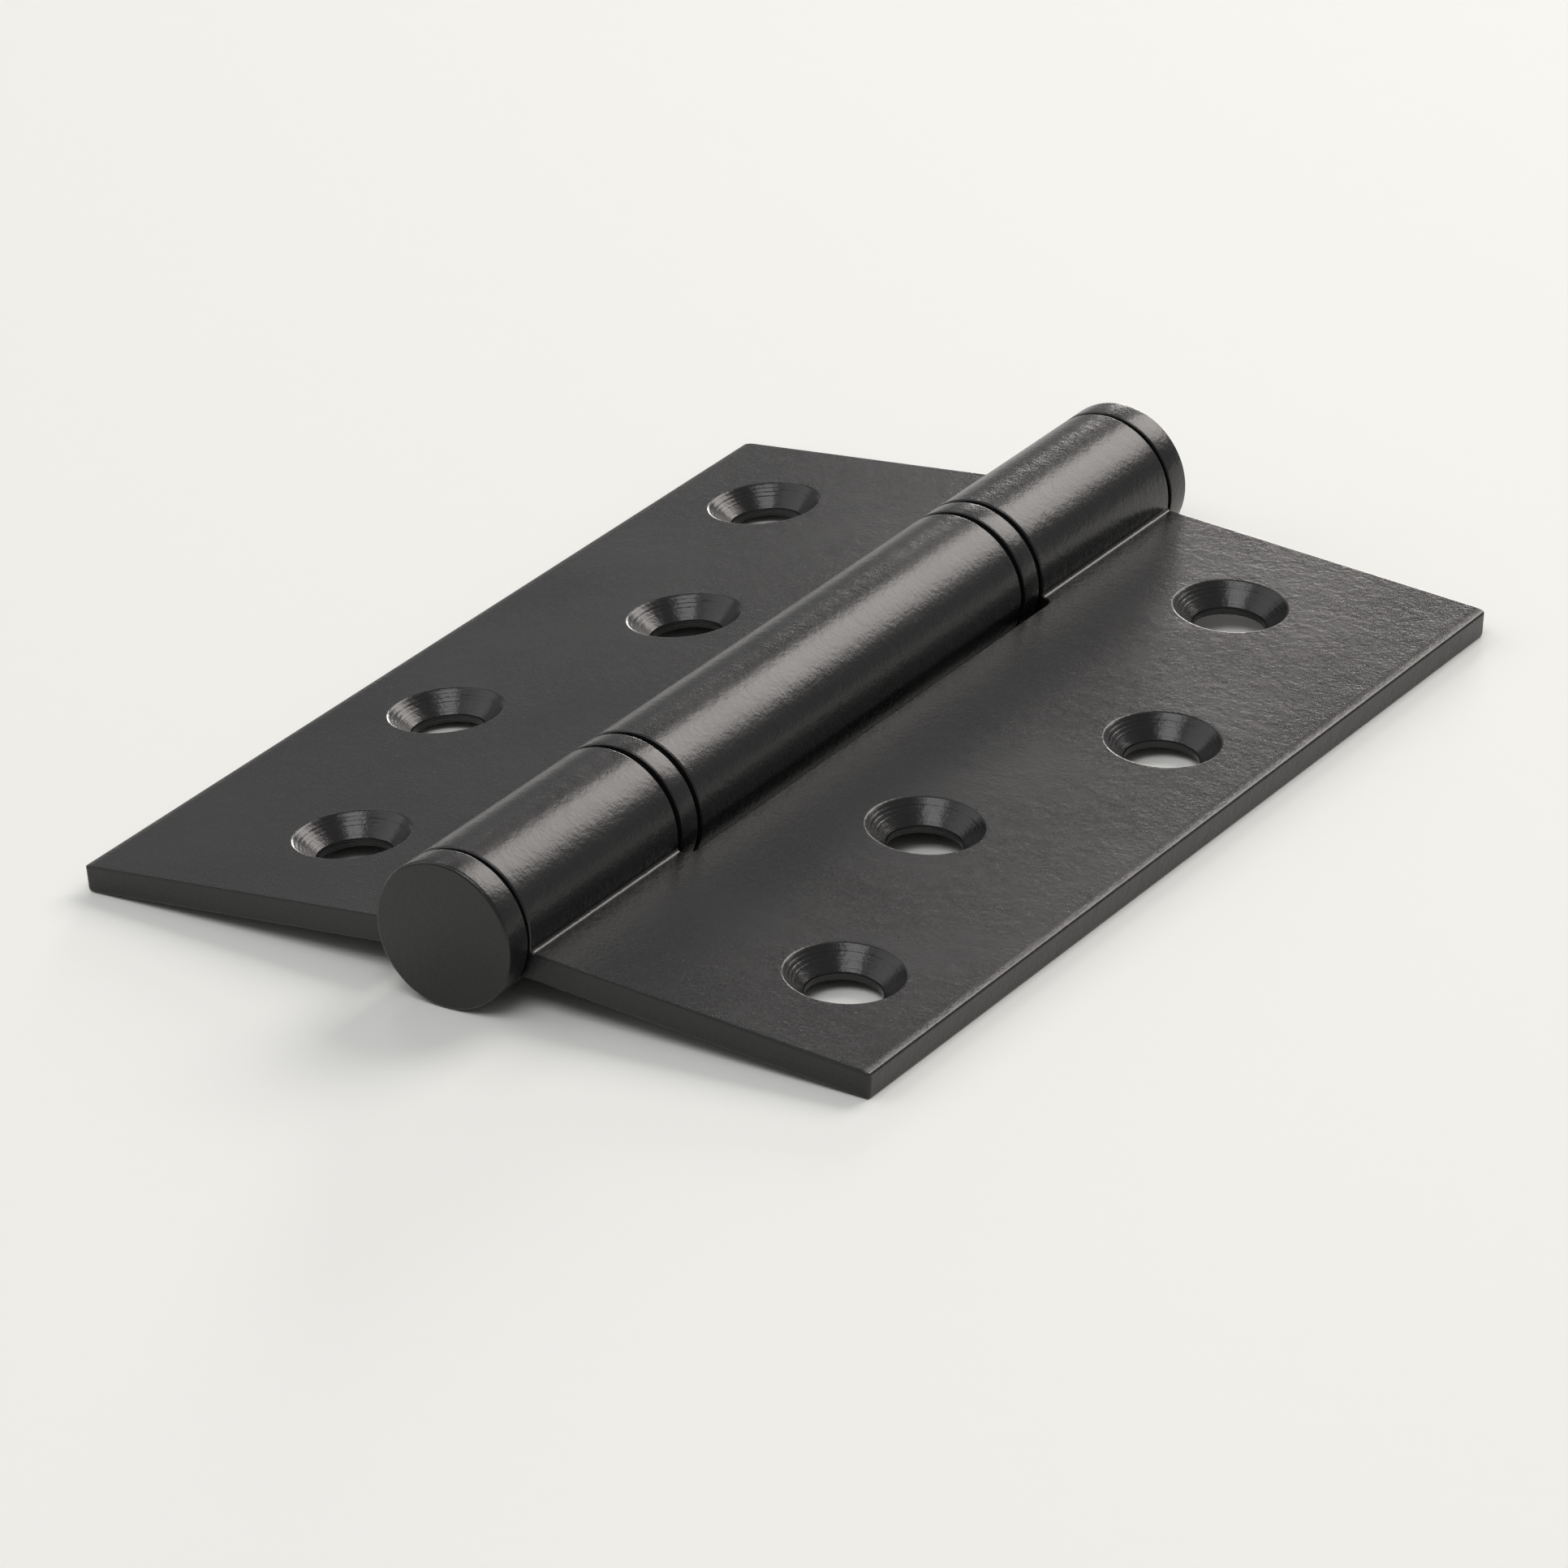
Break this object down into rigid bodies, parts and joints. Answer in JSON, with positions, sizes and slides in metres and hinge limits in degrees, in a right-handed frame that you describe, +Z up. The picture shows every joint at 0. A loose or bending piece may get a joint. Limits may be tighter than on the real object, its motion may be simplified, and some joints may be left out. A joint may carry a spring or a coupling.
{
  "type": "door hinge",
  "caption": "Three-knuckle butt hinge with ball thrust bearings, flat end caps and two leaves with staggered countersunk screw holes, lying open.",
  "frame": {"origin": "on the surface the open hinge lies on, under the middle of the pin", "axes": "+Y along the pin, +X towards the leaf with the two outer knuckles, +Z up"},
  "size_m": [0.0762, 0.1062, 0.0129],
  "materials": {
    "coated_black": "matte black coating with a fine grain",
    "pin_steel": "ground",
    "bearing_steel": "polished",
    "bush_bronze": "sintered, oiled",
    "cage_brass": "satin"
  },
  "bodies": {
    "outer_knuckle_leaf": {"leaf_outer_knuckles": "coated_black", "hinge_pin": "pin_steel", "end_cap_near": "coated_black", "end_cap_far": "coated_black", "bearing_cover_near": "coated_black", "bearing_cover_far": "coated_black", "fixed_race_near": "bearing_steel", "fixed_race_far": "bearing_steel"},
    "centre_knuckle_leaf": {"leaf_centre_knuckle": "coated_black", "bush_near": "bush_bronze", "bush_far": "bush_bronze", "swinging_race_near": "bearing_steel", "swinging_race_far": "bearing_steel"},
    "ball_set_near": {"ball_cage_near": "cage_brass", "ball_near_01": "bearing_steel", "ball_near_02": "bearing_steel", "ball_near_03": "bearing_steel", "ball_near_04": "bearing_steel", "ball_near_05": "bearing_steel", "ball_near_06": "bearing_steel", "ball_near_07": "bearing_steel", "ball_near_08": "bearing_steel", "ball_near_09": "bearing_steel", "ball_near_10": "bearing_steel"},
    "ball_set_far": {"ball_cage_far": "cage_brass", "ball_far_01": "bearing_steel", "ball_far_02": "bearing_steel", "ball_far_03": "bearing_steel", "ball_far_04": "bearing_steel", "ball_far_05": "bearing_steel", "ball_far_06": "bearing_steel", "ball_far_07": "bearing_steel", "ball_far_08": "bearing_steel", "ball_far_09": "bearing_steel", "ball_far_10": "bearing_steel"}
  },
  "joints": [
    {"name": "leaf_swing", "type": "hinge", "parent": "outer_knuckle_leaf", "child": "centre_knuckle_leaf", "pos_m": [0, 0, 0.00645], "axis": [0, 1, 0], "range_deg": [-80, 189.77]},
    {"name": "ball_set_near_orbit", "type": "hinge", "parent": "outer_knuckle_leaf", "child": "ball_set_near", "pos_m": [0, -0.02685, 0.00645], "axis": [0, 1, 0], "range_deg": [-41, 96]},
    {"name": "ball_set_far_orbit", "type": "hinge", "parent": "outer_knuckle_leaf", "child": "ball_set_far", "pos_m": [0, 0.02685, 0.00645], "axis": [0, 1, 0], "range_deg": [-41, 96]}
  ],
  "couplings": [
    {"joint": "ball_set_near_orbit", "follows": "leaf_swing", "ratio": 0.5},
    {"joint": "ball_set_far_orbit", "follows": "leaf_swing", "ratio": 0.5}
  ]
}
